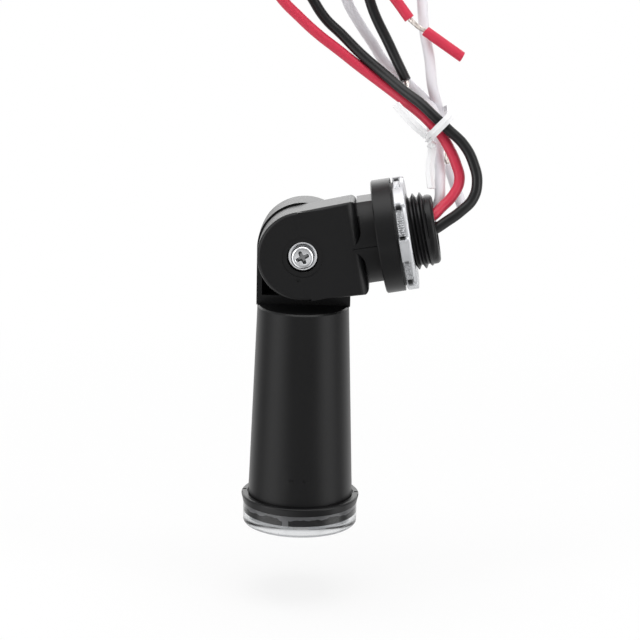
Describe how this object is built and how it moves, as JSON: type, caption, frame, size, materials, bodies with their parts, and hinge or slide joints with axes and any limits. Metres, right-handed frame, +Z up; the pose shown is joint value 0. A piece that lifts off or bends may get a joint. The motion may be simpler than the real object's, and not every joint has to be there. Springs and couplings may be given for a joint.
{
  "type": "photocell light switch",
  "caption": "Tapered photocell head with a clear lens on a half-lap swivel knuckle, with a threaded conduit stem, gasket, locknut and three leads.",
  "frame": {"origin": "on the stem's axis at the collar's seating face, where the gasket meets the mounting wall", "axes": "+Z up along the hanging head, +X out of the stem, +Y to the back of the lap joint"},
  "size_m": [0.061, 0.0434, 0.1613],
  "materials": {
    "housing_plastic": "satin moulded black",
    "gasket_rubber": "matte black",
    "zinc_plate": "bright zinc plate",
    "clear_lens": "clear, polished",
    "sensor_face": "matte",
    "board_laminate": "semi-gloss",
    "component_blue": "gloss",
    "component_amber": "gloss",
    "component_dark": "gloss",
    "red_insulation": "soft gloss",
    "black_insulation": "soft gloss",
    "white_insulation": "soft gloss",
    "tinned_copper": "bright strands",
    "tie_plastic": "soft gloss"
  },
  "bodies": {
    "stem": {"swivel_stem": "housing_plastic", "sealing_gasket": "gasket_rubber", "locknut": "zinc_plate", "pivot_washer": "zinc_plate", "red_lead": "red_insulation", "black_lead": "black_insulation", "white_lead": "white_insulation", "red_strands": "tinned_copper", "black_strands": "tinned_copper", "white_strands": "tinned_copper", "red_slug": "red_insulation", "black_slug": "black_insulation", "white_slug": "white_insulation", "twist_tie": "tie_plastic"},
    "head": {"housing_tube": "housing_plastic", "bezel_ring": "housing_plastic", "lens": "clear_lens", "lens_sealant": "gasket_rubber", "sensor_baffle": "housing_plastic", "light_sensor": "sensor_face", "circuit_board": "board_laminate", "relay": "component_blue", "film_capacitor": "component_amber", "electrolytic_capacitor": "component_dark", "varistor": "component_blue", "rectifier_diodes": "component_dark", "resistors": "component_amber", "pivot_nut": "zinc_plate", "pivot_screw": "zinc_plate"}
  },
  "joints": [
    {"name": "head_swivel", "type": "hinge", "parent": "stem", "child": "head", "pos_m": [-0.02411, 0, -0.00438], "axis": [0, 1, 0], "range_deg": [-15, 174]}
  ]
}
